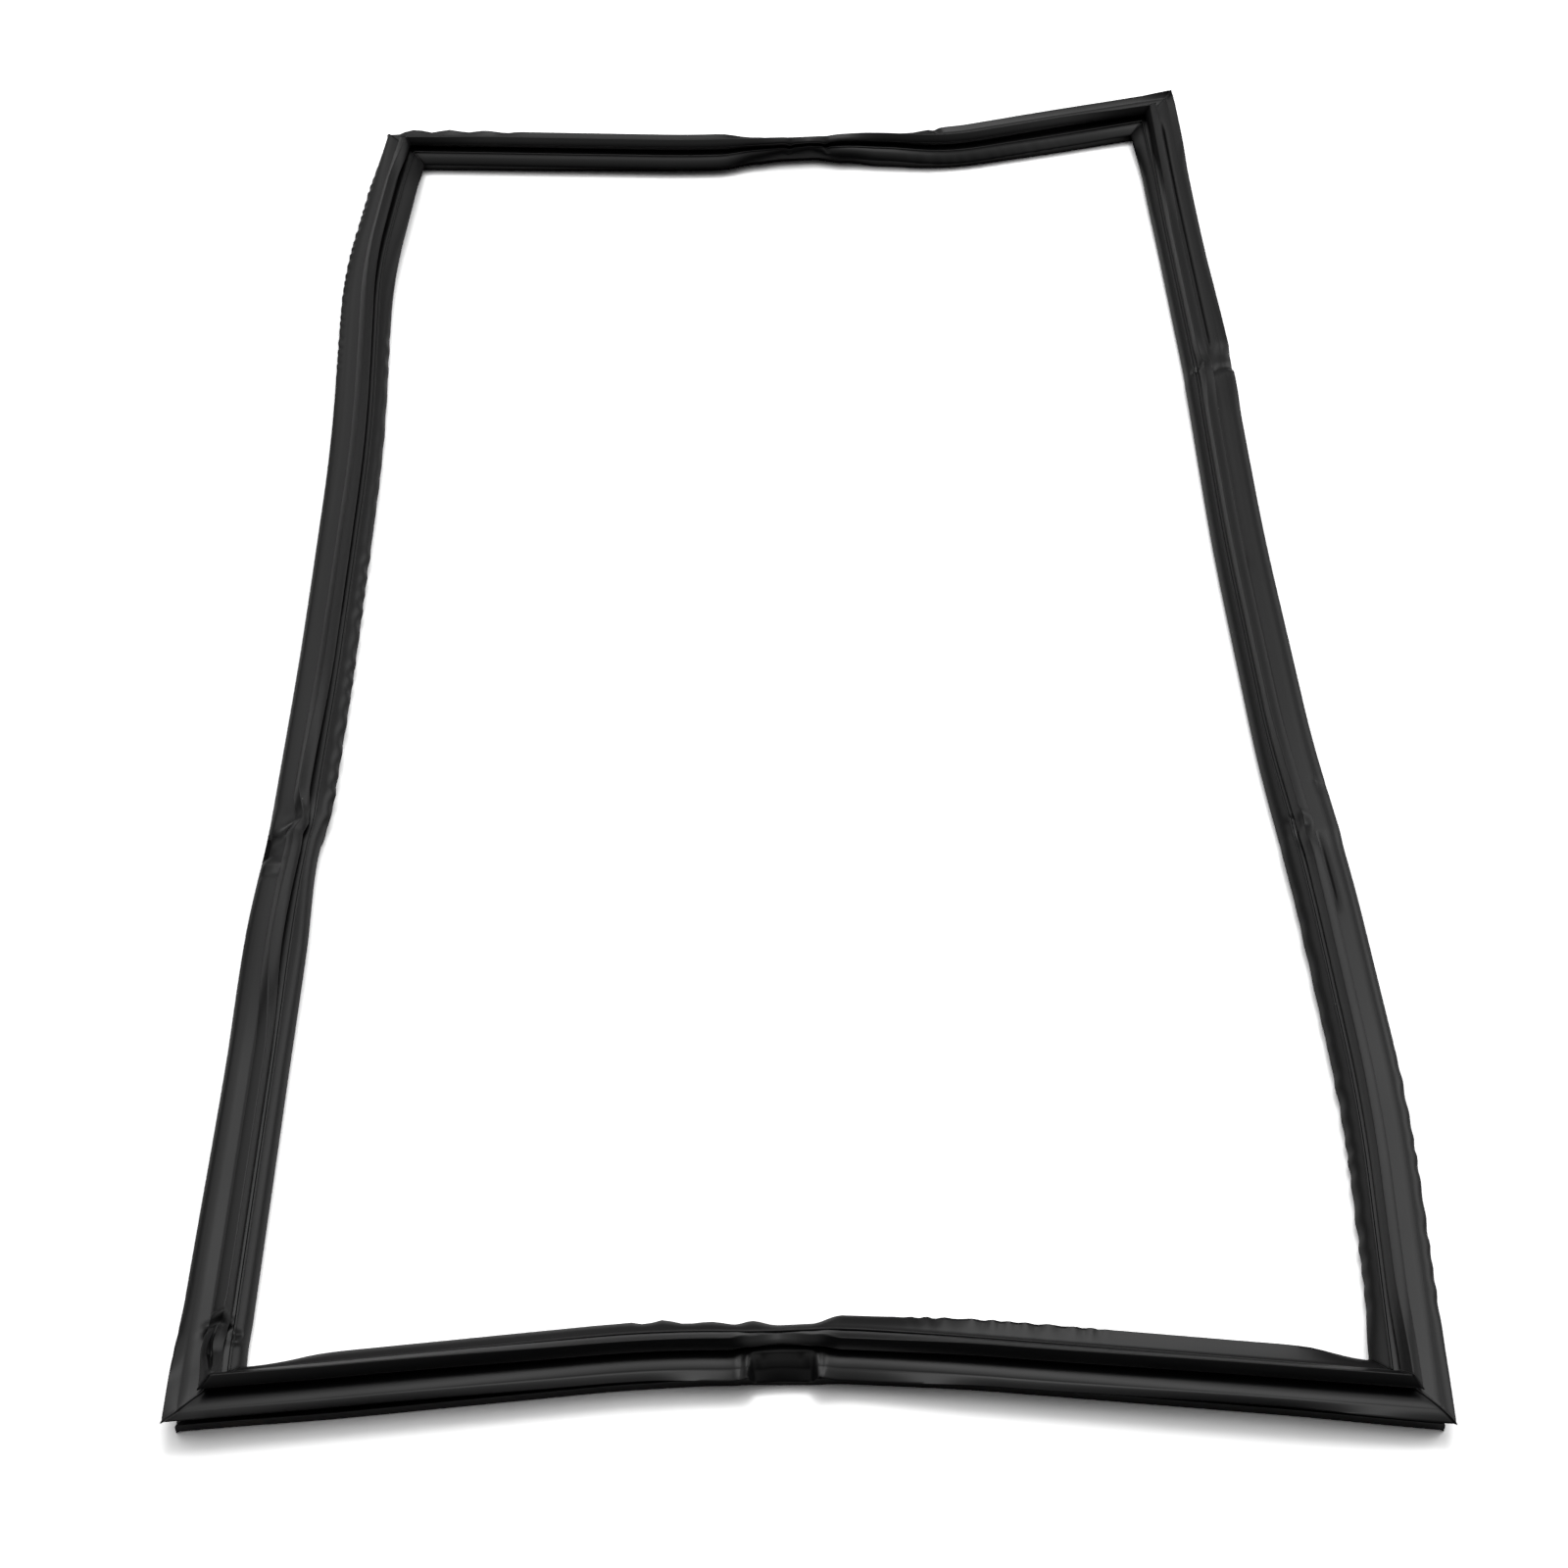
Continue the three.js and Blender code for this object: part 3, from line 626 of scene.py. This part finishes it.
def folded_web(state, size):
    """The section above the bellows, from their outer joint round to the inner one: each point as a pair of
    arrays, with its weight on the outer lip (0 to 1) or the inner one (0 to -1)."""
    ones = np.ones(len(state["lean"]))
    web, under = size.web_top / MM, size.web_underside / MM
    points, weights = [], []

    def add(pairs, weight=0.0):
        for u, v in pairs:
            points.append((u * ones, v * ones))
            weights.append(weight)

    def add_lip(sign, root, length, droop, first):
        u, v, below_u, below_v = lip(sign, root, length, droop, size)
        shares = np.arange(u.shape[1]) / (u.shape[1] - 1)
        tip_u = (u[:, -1] + below_u[:, -1]) / 2 + sign * size.lip_edge / MM * LIP_EDGE_ROUND
        tip = [((tip_u, (v[:, -1] + below_v[:, -1]) / 2), sign)]
        above = [((u[:, k], v[:, k]), sign * shares[k]) for k in range(len(shares))]
        below = [((below_u[:, k], below_v[:, k]), sign * shares[k]) for k in range(len(shares))]
        ordered = below + tip + above[::-1] if first else above + tip + below[::-1]
        for pair, weight in ordered:
            add([pair], weight)

    reach, groove = size.flange_reach / MM, GROOVE_HALF
    add([(BELLOWS_JOINT_OUTER, under)])
    add_lip(1, reach, size.outer_lip / MM, state["outer_droop"], True)
    add([(reach - groove, web - GROOVE_DEPTH), (reach - 2 * groove, web - GROOVE_EDGE)])
    add([(reach * share, web) for share in FLANGE_POINTS])
    add(dart_points(state, size))
    centre, half, rise = size.bead_centre / MM, size.bead_half / MM, size.bead_rise / MM
    add([(-place, web) for place in WEB_POINTS])
    add([(-centre + half + BEAD_FOOT, web)])
    for k in range(BEAD_STEPS + 1):
        angle = math.pi * k / BEAD_STEPS
        bulge = rise * math.sin(angle) ** BEAD_FULLNESS
        add([(-centre + half * math.cos(angle), web - BEAD_SINK + bulge)])
    add_lip(-1, size.inner_root / MM, size.inner_lip / MM, state["inner_droop"], False)
    add([(-BELLOWS_JOINT_INNER, under)])
    return points, weights


def outline(state, size):
    """Outer outline of the section at each place, counterclockwise, with each point's weight on a lip."""
    ones = np.ones(len(state["lean"]))
    points, weights = folded_web(state, size)
    squash = state["squash"]
    pushed = [(u + squash * np.clip((-u - SQUASH_FROM) / SQUASH_RUN, 0, 1), v) for u, v in points]
    section = [turned(u, v, state["lean"], LEAN_PIVOT) for u, v in pushed]

    fold, foot = size.fold_height / MM, size.pocket_height / MM
    inner_fold = [
        (-BELLOWS_FOLD_INNER - FOLD_ABOVE, fold + FOLD_ROUND),
        (-BELLOWS_FOLD_INNER, fold),
        (-BELLOWS_FOLD_INNER - FOLD_BELOW, fold - FOLD_ROUND),
    ]
    outer_fold = [
        (BELLOWS_FOLD_OUTER + FOLD_BELOW, fold - FOLD_ROUND),
        (BELLOWS_FOLD_OUTER, fold),
        (BELLOWS_FOLD_OUTER + FOLD_ABOVE, fold + FOLD_ROUND),
    ]
    inner, outer = -size.face_inner / MM + squash, size.face_outer / MM
    face = [(-BELLOWS_FOOT + squash / 2, foot)]
    face += corner_points(inner, foot, 1, -1, size)
    face += corner_points(inner, 0, 1, 1, size)[::-1]
    face += corner_points(outer, 0, -1, 1, size)
    face += corner_points(outer, foot, -1, -1, size)[::-1]
    face += [(BELLOWS_FOOT, foot)]
    half_lean = state["lean"] / 2
    section += [turned(u * ones, v * ones, half_lean, LEAN_PIVOT) for u, v in inner_fold]
    section += [(u + state["shift"], v * ones) for u, v in face]
    section += [turned(u * ones, v * ones, half_lean, LEAN_PIVOT) for u, v in outer_fold]
    weights += [0.0] * (len(section) - len(weights))
    return np.stack([np.stack(pair, axis=1) for pair in section], axis=1), np.array(weights)


def corner_points(u, v, towards_u, towards_v, size):
    """A rounded edge of the pocket: from its level end to its upright end."""
    radius = size.wall_round / MM
    turns = [math.radians(angle) for angle in EDGE_ANGLES]
    return [
        (u + towards_u * radius * (1 - math.sin(turn)), v + towards_v * radius * (1 - math.cos(turn)))
        for turn in turns
    ]


def waves(route, place, state, weights):
    """Offset of each point by the waves of its lip, which push it along the lip's own normal."""
    offset = np.zeros((len(place), len(weights), 2))
    share = place / route.length
    for side, edge, start, end, wavelength, height in WAVES:
        if side != route.name:
            continue
        sign = 1 if edge == "outer" else -1
        weight = np.clip(sign * weights, 0, 1) ** WAVE_GROWTH
        window = smooth((share - start) / WAVE_FADE) * smooth((end - share) / WAVE_FADE)
        phase = 2 * np.pi * place / wavelength
        wave = np.sin(phase + WAVE_DRIFT * np.sin(phase * WAVE_DRIFT_RATE))
        swell = 1 - WAVE_SWELL + WAVE_SWELL * np.sin(phase * WAVE_SWELL_RATE + WAVE_SWELL_START)
        push = (height * window * wave * swell)[:, None] * weight
        droop = np.radians(state[edge + "_droop"])[:, None]
        offset[..., 0] += sign * push * np.sin(droop)
        offset[..., 1] += push * np.cos(droop)
    return offset


def tilts(route, place, points):
    """Turns the flange down where it is folded."""
    for side, start, end, degrees, run in TILTS:
        if side != route.name:
            continue
        at_start, at_end = place - start * route.length, end * route.length - place
        angle = np.radians(degrees) * (smooth(at_start / run) * smooth(at_end / run))[:, None]
        u, v = points[..., 0] - TILT_PIVOT, points[..., 1]
        level = smooth((v - FLANGE_FROM) / FLANGE_RISE) * smooth((FLANGE_TO - v) / FLANGE_RISE)
        reach = smooth(u) * level * u
        points[..., 1] -= reach * np.sin(angle)
        points[..., 0] -= reach * (1 - np.cos(angle))


def troughs(route, place, points):
    """Drop of the web's top in its troughs."""
    drop = np.zeros(points.shape[:2])
    low, high = WEB_BAND
    on_web = smooth((points[..., 1] - low) / WEB_BAND_EDGE) * smooth((high - points[..., 1]) / WEB_BAND_EDGE)
    for side, start, end, centre, half, depth in TROUGHS:
        if side == route.name:
            at_start, at_end = place - start * route.length, end * route.length - place
            window = smooth(at_start / TROUGH_FADE) * smooth(at_end / TROUGH_FADE)
            across = np.exp(-(((points[..., 0] - centre) / half) ** 2))
            drop += depth * window[:, None] * across * on_web
    return drop


def jogs(route, place, points):
    """Sideways offset of the dart where a kink has pushed it over."""
    above = smooth((points[..., 1] - JOG_FOOT) / JOG_RISE) * (np.abs(points[..., 0]) < JOG_REACH)
    offset = np.zeros(points.shape[:2])
    for side, share, half, sideways in JOGS:
        if side == route.name:
            window = np.exp(-(((place - share * route.length) / half) ** 2))
            offset += sideways * window[:, None] * above
    return offset


def creases(route, place, points):
    """Drop of the points on top of the section at the creases."""
    drop = np.zeros(points.shape[:2])
    on_top = smooth((points[..., 1] - TOP_FROM) / TOP_RISE)
    for side, share, slant, width, depth, low, high in CREASES:
        if side != route.name:
            continue
        u = points[..., 0]
        along = place[:, None] - share * route.length - slant * u
        run = 2 * CREASE_EDGE
        window = smooth((u - low + CREASE_EDGE) / run) * smooth((high + CREASE_EDGE - u) / run)
        drop += depth * np.exp(-((along / width) ** 2)) * window * on_top
    return drop


def weld(route, place, points):
    """Offset of the skin at a weld: a raised flash with a fine groove on either side."""
    distance = np.minimum(place, route.length - place)
    flash = WELD_FLASH * np.exp(-((distance / WELD_FLASH_HALF) ** 2))
    groove = WELD_GROOVE * np.exp(-(((distance - WELD_GROOVE_AT) / WELD_GROOVE_HALF) ** 2))
    ahead = np.roll(points, -1, axis=1) - np.roll(points, 1, axis=1)
    normal = np.stack([ahead[..., 1], -ahead[..., 0]], axis=-1)
    normal /= np.linalg.norm(normal, axis=-1, keepdims=True) + 1e-9
    lifted = points + normal * (flash - groove)[:, None, None]
    lifted[..., 1] = np.maximum(lifted[..., 1], 0)
    return lifted


def swept(route, size):
    """Rings of points along one side, in millimetres, and the places of the rings."""
    place = stations(route, size)
    state = route.state(place)
    points, weights = outline(state, size)
    points[..., 1] -= troughs(route, place, points)
    tilts(route, place, points)
    points[..., 0] += jogs(route, place, points)
    points[..., 1] -= creases(route, place, points)
    points += waves(route, place, state, weights)
    points[..., 1] = np.maximum(points[..., 1], 0)
    points = weld(route, place, points)
    run = size.mitre_run / MM
    from_start = np.maximum(0, 1 - place / run)
    from_end = np.maximum(0, 1 - (route.length - place) / run)
    slope = from_end * route.end_slope - from_start * route.start_slope
    u, v = points[..., 0], points[..., 1]
    at, direction = route.at(place[:, None] + u * slope[:, None])
    across = [at[..., 0] + direction[..., 1] * u, at[..., 1] - direction[..., 0] * u]
    return np.stack([*across, v], axis=-1), place


def ring_mesh(name, rings, along):
    """A closed skin over rings, with a UV map in metres: U along the frame and V around the section."""
    count, around = rings.shape[:2]
    mesh = bpy.data.meshes.new(name)
    j, i = np.meshgrid(np.arange(count), np.arange(around), indexing="ij")
    next_j, next_i = (j + 1) % count, (i + 1) % around
    here, ahead = j * around, next_j * around
    quads = np.stack([here + i, ahead + i, ahead + next_i, here + next_i], axis=-1)
    mesh.from_pydata(rings.reshape(-1, 3).tolist(), [], quads.reshape(-1, 4).tolist())
    girth = np.linalg.norm(np.roll(rings[0], -1, axis=0) - rings[0], axis=1)
    v_at = np.concatenate([[0.0], np.cumsum(girth)])
    u_at = np.append(along, along[-1] + np.linalg.norm(rings[0, 0] - rings[-1, 0]))
    uv = np.stack(
        [
            np.stack([u_at[j], u_at[j + 1], u_at[j + 1], u_at[j]], axis=-1),
            np.stack([v_at[i], v_at[i], v_at[i + 1], v_at[i + 1]], axis=-1),
        ],
        axis=-1,
    )
    layer = mesh.uv_layers.new(name="Extrusion")
    layer.data.foreach_set("uv", uv.reshape(-1).astype(np.float32))
    mesh.polygons.foreach_set("use_smooth", np.ones(len(mesh.polygons), dtype=bool))
    mesh.set_sharp_from_angle(angle=math.radians(SHARP_ANGLE))
    mesh.validate()
    mesh.update()
    return mesh


# Materials


def node(tree, kind, settings=None, inputs=None, links=None):
    """Adds a node with its settings, the values of its sockets and the links into them."""
    made = tree.nodes.new(kind)
    for name, value in (settings or {}).items():
        setattr(made, name, value)
    for name, value in (inputs or {}).items():
        made.inputs[name].default_value = value
    for name, source in (links or {}).items():
        tree.links.new(source, made.inputs[name])
    return made


def new_material(name):
    """An empty material with its output."""
    material = bpy.data.materials.new(name)
    material.use_nodes = True
    material.node_tree.nodes.clear()
    return material, material.node_tree


def stretched(tree, coordinates, scale):
    """Coordinates scaled along each axis."""
    mapping = node(tree, "ShaderNodeMapping", inputs={"Scale": scale}, links={"Vector": coordinates})
    return mapping.outputs["Vector"]


def noise(tree, scale, detail, coordinates):
    """Grey noise at the coordinates."""
    settings = {"Scale": scale, "Detail": detail}
    return node(tree, "ShaderNodeTexNoise", inputs=settings, links={"Vector": coordinates}).outputs["Fac"]


def extruded_pvc(look):
    """Soft black PVC, extruded through a steel die and cooled in water. Fine die lines run its length and
    give the sheen a brushed edge, handling leaves the gloss uneven, and specks of dust cling to it."""
    material, tree = new_material("Soft black PVC, extruded")
    uv = node(tree, "ShaderNodeUVMap", {"uv_map": "Extrusion"}).outputs["UV"]
    coarse_scale = (COARSE_CHANGES, 1 / look.line_pitch, 1)
    fine_scale = (FINE_CHANGES, FINE_LINES / look.line_pitch, 1)
    coarse = noise(tree, 1.0, 1.0, stretched(tree, uv, coarse_scale))
    fine = noise(tree, 1.0, 2.0, stretched(tree, uv, fine_scale))
    lines = node(
        tree,
        "ShaderNodeMix",
        {"data_type": "FLOAT"},
        {"Factor": FINE_SHARE},
        {"A": coarse, "B": fine},
    )
    smoothest, roughest = look.pvc_roughness - ROUGHNESS_BELOW, look.pvc_roughness + ROUGHNESS_ABOVE
    rough = node(
        tree,
        "ShaderNodeMapRange",
        inputs={"To Min": smoothest, "To Max": roughest},
        links={"Value": noise(tree, CLOUDS, 4.0, uv)},
    )
    place = node(tree, "ShaderNodeTexCoord").outputs["Object"]
    cell_scale = {"Scale": 1 / look.dust_spacing}
    cells = node(tree, "ShaderNodeTexVoronoi", inputs=cell_scale, links={"Vector": place})
    near = node(
        tree,
        "ShaderNodeMath",
        {"operation": "LESS_THAN"},
        {1: look.dust_size / look.dust_spacing},
        {0: cells.outputs["Distance"]},
    )
    chosen = {0: cells.outputs["Color"]}
    some = node(tree, "ShaderNodeMath", {"operation": "GREATER_THAN"}, {1: CLEAN_SHARE}, chosen)
    speck = node(
        tree,
        "ShaderNodeMath",
        {"operation": "MULTIPLY"},
        links={0: near.outputs["Value"], 1: some.outputs["Value"]},
    )
    colour = node(tree, "ShaderNodeMix", {"data_type": "RGBA"}, links={"Factor": speck.outputs["Value"]})
    plain, dusty = [socket for socket in colour.inputs if socket.type == "RGBA"]
    plain.default_value = look.pvc_colour
    dusty.default_value = look.dust_colour
    skin_colour = [socket for socket in colour.outputs if socket.type == "RGBA"][0]
    bump = node(
        tree,
        "ShaderNodeBump",
        inputs={"Strength": LINE_STRENGTH, "Distance": look.line_depth},
        links={"Height": lines.outputs["Result"]},
    )
    shader = node(
        tree,
        "ShaderNodeBsdfPrincipled",
        inputs={"IOR": look.pvc_ior},
        links={
            "Base Color": skin_colour,
            "Roughness": rough.outputs["Result"],
            "Normal": bump.outputs["Normal"],
        },
    )
    node(tree, "ShaderNodeOutputMaterial", links={"Surface": shader.outputs["BSDF"]})
    return material


def bonded_ferrite(look):
    """Ferrite powder bonded in rubber, calendered and slit: dull, with a fine dark grain."""
    material, tree = new_material("Bonded ferrite, calendered")
    place = node(tree, "ShaderNodeTexCoord").outputs["Object"]
    grain = noise(tree, FERRITE_GRAINS, 2.0, place)
    darker = tuple(FERRITE_SHADE * value for value in look.ferrite_colour[:3]) + (1.0,)
    colour = node(tree, "ShaderNodeMix", {"data_type": "RGBA"}, links={"Factor": grain})
    colour.inputs["A"].default_value = darker
    colour.inputs["B"].default_value = look.ferrite_colour
    shader = node(
        tree,
        "ShaderNodeBsdfPrincipled",
        inputs={"Roughness": FERRITE_ROUGHNESS, "IOR": FERRITE_IOR},
        links={"Base Color": colour.outputs["Result"]},
    )
    node(tree, "ShaderNodeOutputMaterial", links={"Surface": shader.outputs["BSDF"]})
    return material


def white_floor(stage):
    """Matt white card. The eye sees it as bright as an overexposed card, with its soft shadow, reflections
    see it plain white, and the light that it spreads stays that of the card."""
    material, tree = new_material("Matt white card")
    path = node(tree, "ShaderNodeLightPath")
    mirrored = node(
        tree,
        "ShaderNodeMath",
        {"operation": "MAXIMUM"},
        links={0: path.outputs["Is Glossy Ray"], 1: path.outputs["Is Transmission Ray"]},
    )
    colour = None
    rays = ((stage.mirror_gain, mirrored.outputs["Value"]), (stage.floor_gain, path.outputs["Is Camera Ray"]))
    for gain, ray in rays:
        unclamped = {"data_type": "RGBA", "clamp_result": False}
        mixed = node(tree, "ShaderNodeMix", unclamped, links={"Factor": ray})
        before, after = [socket for socket in mixed.inputs if socket.type == "RGBA"]
        after.default_value = tuple(gain * value for value in stage.floor_colour[:3]) + (1.0,)
        if colour is None:
            before.default_value = stage.floor_colour
        else:
            tree.links.new(colour, before)
        colour = [socket for socket in mixed.outputs if socket.type == "RGBA"][0]
    shader = node(tree, "ShaderNodeBsdfDiffuse", links={"Color": colour})
    node(tree, "ShaderNodeOutputMaterial", links={"Surface": shader.outputs["BSDF"]})
    return material


def eased(tree, value, low, high, to_low, to_high):
    """A value eased between two limits."""
    return node(
        tree,
        "ShaderNodeMapRange",
        {"interpolation_type": "SMOOTHSTEP"},
        {"From Min": low, "From Max": high, "To Min": to_low, "To Max": to_high},
        {"Value": value},
    ).outputs["Result"]


def studio_light(stage):
    """A white tent that dims towards the horizon and low in front, with soft boxes in it."""
    world = bpy.data.worlds.new("studio")
    world.use_nodes = True
    tree = world.node_tree
    background = tree.nodes["Background"]
    direction = node(tree, "ShaderNodeTexCoord").outputs["Generated"]
    parts = node(tree, "ShaderNodeSeparateXYZ", links={"Vector": direction})
    dim = stage.tent_light * HORIZON_SHARE
    height = eased(tree, parts.outputs["Z"], *TENT_HEIGHTS, dim, stage.tent_light)
    front = eased(tree, parts.outputs["Y"], *FRONT_FADE, FRONT_SHARE, 1.0)
    tent = node(tree, "ShaderNodeMath", {"operation": "MULTIPLY"}, links={0: height, 1: front})
    total = tent.outputs["Value"]
    for azimuth, elevation, inner, outer, brightness in PANELS:
        turn, rise = math.radians(azimuth), math.radians(elevation)
        aim = (math.sin(turn) * math.cos(rise), math.cos(turn) * math.cos(rise), math.sin(rise))
        towards = node(tree, "ShaderNodeVectorMath", {"operation": "DOT_PRODUCT"}, {1: aim}, {0: direction})
        edge, full = math.cos(math.radians(outer)), math.cos(math.radians(inner))
        panel = eased(tree, towards.outputs["Value"], edge, full, 0.0, brightness * stage.box_light)
        both = node(tree, "ShaderNodeMath", {"operation": "ADD"}, links={0: total, 1: panel})
        total = both.outputs["Value"]
    tree.links.new(total, background.inputs["Strength"])
    background.inputs["Color"].default_value = (1, 1, 1, 1)
    return world


# Operators


class GASKET_OT_frame(bpy.types.Operator):
    """Sweep the gasket's section round the frame and give it its PVC."""

    bl_idname = "gasket.frame"
    bl_label = "Build the gasket"

    def execute(self, context):
        size = context.scene.gasket_sizes
        sides = routes(size)
        rings, along = [], []
        done = 0.0
        for route in sides:
            points, place = swept(route, size)
            rings.append(points[:-1])
            along.append(done + place[:-1])
            done += route.length
        rings = np.concatenate(rings)
        middle = np.array(BOX_MIDDLE) * np.array([size.frame_width, size.frame_length]) / MM
        rings[..., :2] -= middle
        mesh = ring_mesh("gasket_skin", rings * MM, np.concatenate(along) * MM)
        piece = bpy.data.objects.new("gasket_skin", mesh)
        context.scene.collection.objects.link(piece)
        mesh.materials.append(extruded_pvc(context.scene.gasket_look))
        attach(piece, "root")
        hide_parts("gasket")
        return {"FINISHED"}


class GASKET_OT_magnets(bpy.types.Operator):
    """Give the magnetic strips in the pocket their ferrite."""

    bl_idname = "gasket.magnets"
    bl_label = "Dress the magnetic strips"

    def execute(self, context):
        material = bonded_ferrite(context.scene.gasket_look)
        for side in SIDES:
            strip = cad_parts["magnet_strip_" + side["name"]]
            strip.data.materials.clear()
            strip.data.materials.append(material)
        return {"FINISHED"}


class GASKET_OT_stage(bpy.types.Operator):
    """Lay the floor and set the lights and the camera."""

    bl_idname = "gasket.stage"
    bl_label = "Set the stage"

    def execute(self, context):
        scene = context.scene
        stage = scene.gasket_stage
        half = stage.floor_size / 2
        mesh = bpy.data.meshes.new("floor")
        corners = [(-half, -half, 0), (half, -half, 0), (half, half, 0), (-half, half, 0)]
        mesh.from_pydata(corners, [], [(0, 1, 2, 3)])
        mesh.materials.append(white_floor(stage))
        floor = bpy.data.objects.new("floor", mesh)
        scene.collection.objects.link(floor)
        scene.world = studio_light(stage)
        camera = bpy.data.cameras.new("camera")
        camera.sensor_width = SENSOR_WIDTH
        camera.lens = stage.lens
        camera.clip_end = VIEW_DEPTH
        view = bpy.data.objects.new("camera", camera)
        view.location = (stage.camera_side, stage.camera_back, stage.camera_height)
        view.rotation_euler = (math.pi / 2 - stage.pitch, 0, 0)
        scene.collection.objects.link(view)
        scene.camera = view
        scene.view_settings.view_transform = "Standard"
        return {"FINISHED"}


class GASKET_PT_panel(bpy.types.Panel):
    """Lists the gasket's sizes, colours and operators."""

    bl_idname = "GASKET_PT_panel"
    bl_label = "Door gasket"
    bl_space_type = "VIEW_3D"
    bl_region_type = "UI"
    bl_category = "Gasket"

    def draw(self, context):
        layout = self.layout
        for group in (context.scene.gasket_sizes, context.scene.gasket_look, context.scene.gasket_stage):
            box = layout.box()
            for name in group.__annotations__:
                box.prop(group, name)
        for operator in OPERATORS:
            layout.operator(operator.bl_idname)


OPERATORS = (GASKET_OT_frame, GASKET_OT_magnets, GASKET_OT_stage)
GROUPS = {"gasket_sizes": GasketSizes, "gasket_look": GasketLook, "gasket_stage": StageLook}


def register():
    """Registers the classes and hangs the settings on the scene."""
    for made in (*GROUPS.values(), *OPERATORS, GASKET_PT_panel):
        bpy.utils.register_class(made)
    for name, group in GROUPS.items():
        setattr(bpy.types.Scene, name, PointerProperty(type=group))


def unregister():
    """Takes the settings off the scene and removes the classes."""
    for name in GROUPS:
        delattr(bpy.types.Scene, name)
    for made in reversed((*GROUPS.values(), *OPERATORS, GASKET_PT_panel)):
        bpy.utils.unregister_class(made)


def main():
    """Registers the add-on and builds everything."""
    register()
    bpy.ops.gasket.frame()
    bpy.ops.gasket.magnets()
    bpy.ops.gasket.stage()


if __name__ == "__main__":
    main()
